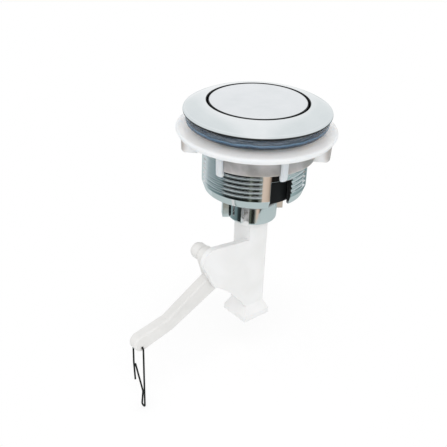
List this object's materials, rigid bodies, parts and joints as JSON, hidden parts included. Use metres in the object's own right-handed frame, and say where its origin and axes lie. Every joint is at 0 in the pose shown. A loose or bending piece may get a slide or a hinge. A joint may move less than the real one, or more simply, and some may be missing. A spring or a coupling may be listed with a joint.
{
  "type": "push button cistern actuator",
  "caption": "Chrome lid push button with threaded barrel, seal and lock nut. Pressing it drives a plunger that tips a bent lever, whose wire clip lifts the chain of a flush valve.",
  "frame": {"origin": "centre of the seal's underside, on the barrel's axis, where the unit rests on the cistern lid", "axes": "+Z out of the lid towards the button, -X towards the lever's free end, Y along the lever's pivot"},
  "size_m": [0.1107, 0.0764, 0.1478],
  "materials": {
    "chrome_plated_abs": "polished",
    "clear_pvc": "gloss",
    "white_polypropylene": "satin",
    "white_acetal": "satin",
    "spring_steel": "satin",
    "dark_wire": "satin"
  },
  "bodies": {
    "base": {"body": "chrome_plated_abs", "seal_ring": "clear_pvc", "lever_bracket": "white_acetal", "pivot_pin": "white_acetal", "return_spring": "spring_steel"},
    "button": {"button_cap": "chrome_plated_abs", "plunger": "white_acetal"},
    "nut": {"lock_nut": "white_polypropylene"},
    "lever": {"lever": "white_acetal"},
    "clip": {"chain_clip": "dark_wire"}
  },
  "joints": [
    {"name": "button_press", "type": "slide", "parent": "base", "child": "button", "axis": [0, 0, -1], "range_m": [0, 0.011], "stiffness_N_per_m": 600, "springref_m": -0.01, "deforming": ["return_spring"]},
    {"name": "lever_pivot", "type": "hinge", "parent": "base", "child": "lever", "pos_m": [-0.028, 0, -0.064], "axis": [0, 1, 0], "range_deg": [0, 22.1]},
    {"name": "nut_run", "type": "slide", "parent": "base", "child": "nut", "axis": [0, 0, -1], "range_m": [0, 0.0115]},
    {"name": "clip_swing", "type": "hinge", "parent": "lever", "child": "clip", "pos_m": [-0.0686, 0, -0.0996], "axis": [0, 1, 0], "range_deg": [-60, 60]}
  ],
  "couplings": [
    {"joint": "lever_pivot", "follows": "button_press", "rad_per_m": 35.056}
  ]
}
